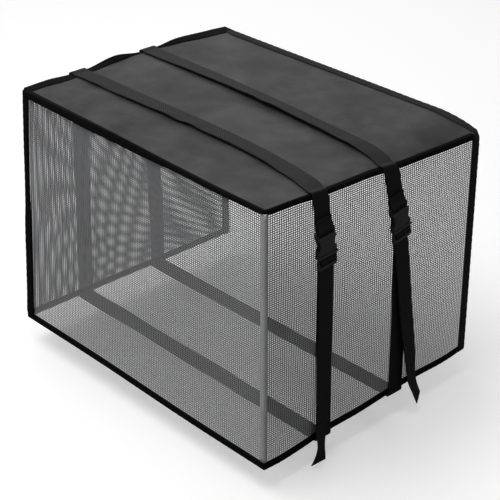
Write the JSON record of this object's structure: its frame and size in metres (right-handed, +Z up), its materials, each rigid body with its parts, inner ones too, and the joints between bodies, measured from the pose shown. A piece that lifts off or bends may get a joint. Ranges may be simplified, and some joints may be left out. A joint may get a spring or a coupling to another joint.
{
  "type": "air conditioner cover",
  "caption": "Fitted outdoor cover with a coated cloth top, fine net walls, bound seams and hems, an open back and two webbing straps with side release buckles.",
  "frame": {"origin": "centre of the underside of the top panel, where the cover rests on what it hides", "axes": "+X along the front wall towards the buckled side, +Y from the front wall towards the open back, +Z up"},
  "size_m": [0.4968, 0.3834, 0.3818],
  "materials": {
    "top_cloth": "charcoal coated woven cloth, matt with a soft mottle",
    "net": "grey knitted net with small open cells",
    "binding": "black woven tape, matt",
    "corner_cloth": "grey cloth strip, matt",
    "webbing": "black ribbed webbing, matt",
    "buckle_plastic": "black moulded plastic, satin"
  },
  "bodies": {
    "root": {"top_panel": "top_cloth", "front_mesh": "net", "right_mesh": "net", "left_mesh": "net", "front_top_binding": "binding", "right_top_binding": "binding", "left_top_binding": "binding", "left_corner_binding": "binding", "right_corner_seam": "corner_cloth", "bottom_binding": "binding", "back_binding": "binding", "front_strap": "webbing", "rear_strap": "webbing", "front_buckle_socket": "buckle_plastic", "front_buckle_plug": "buckle_plastic", "rear_buckle_socket": "buckle_plastic", "rear_buckle_plug": "buckle_plastic"}
  },
  "joints": []
}
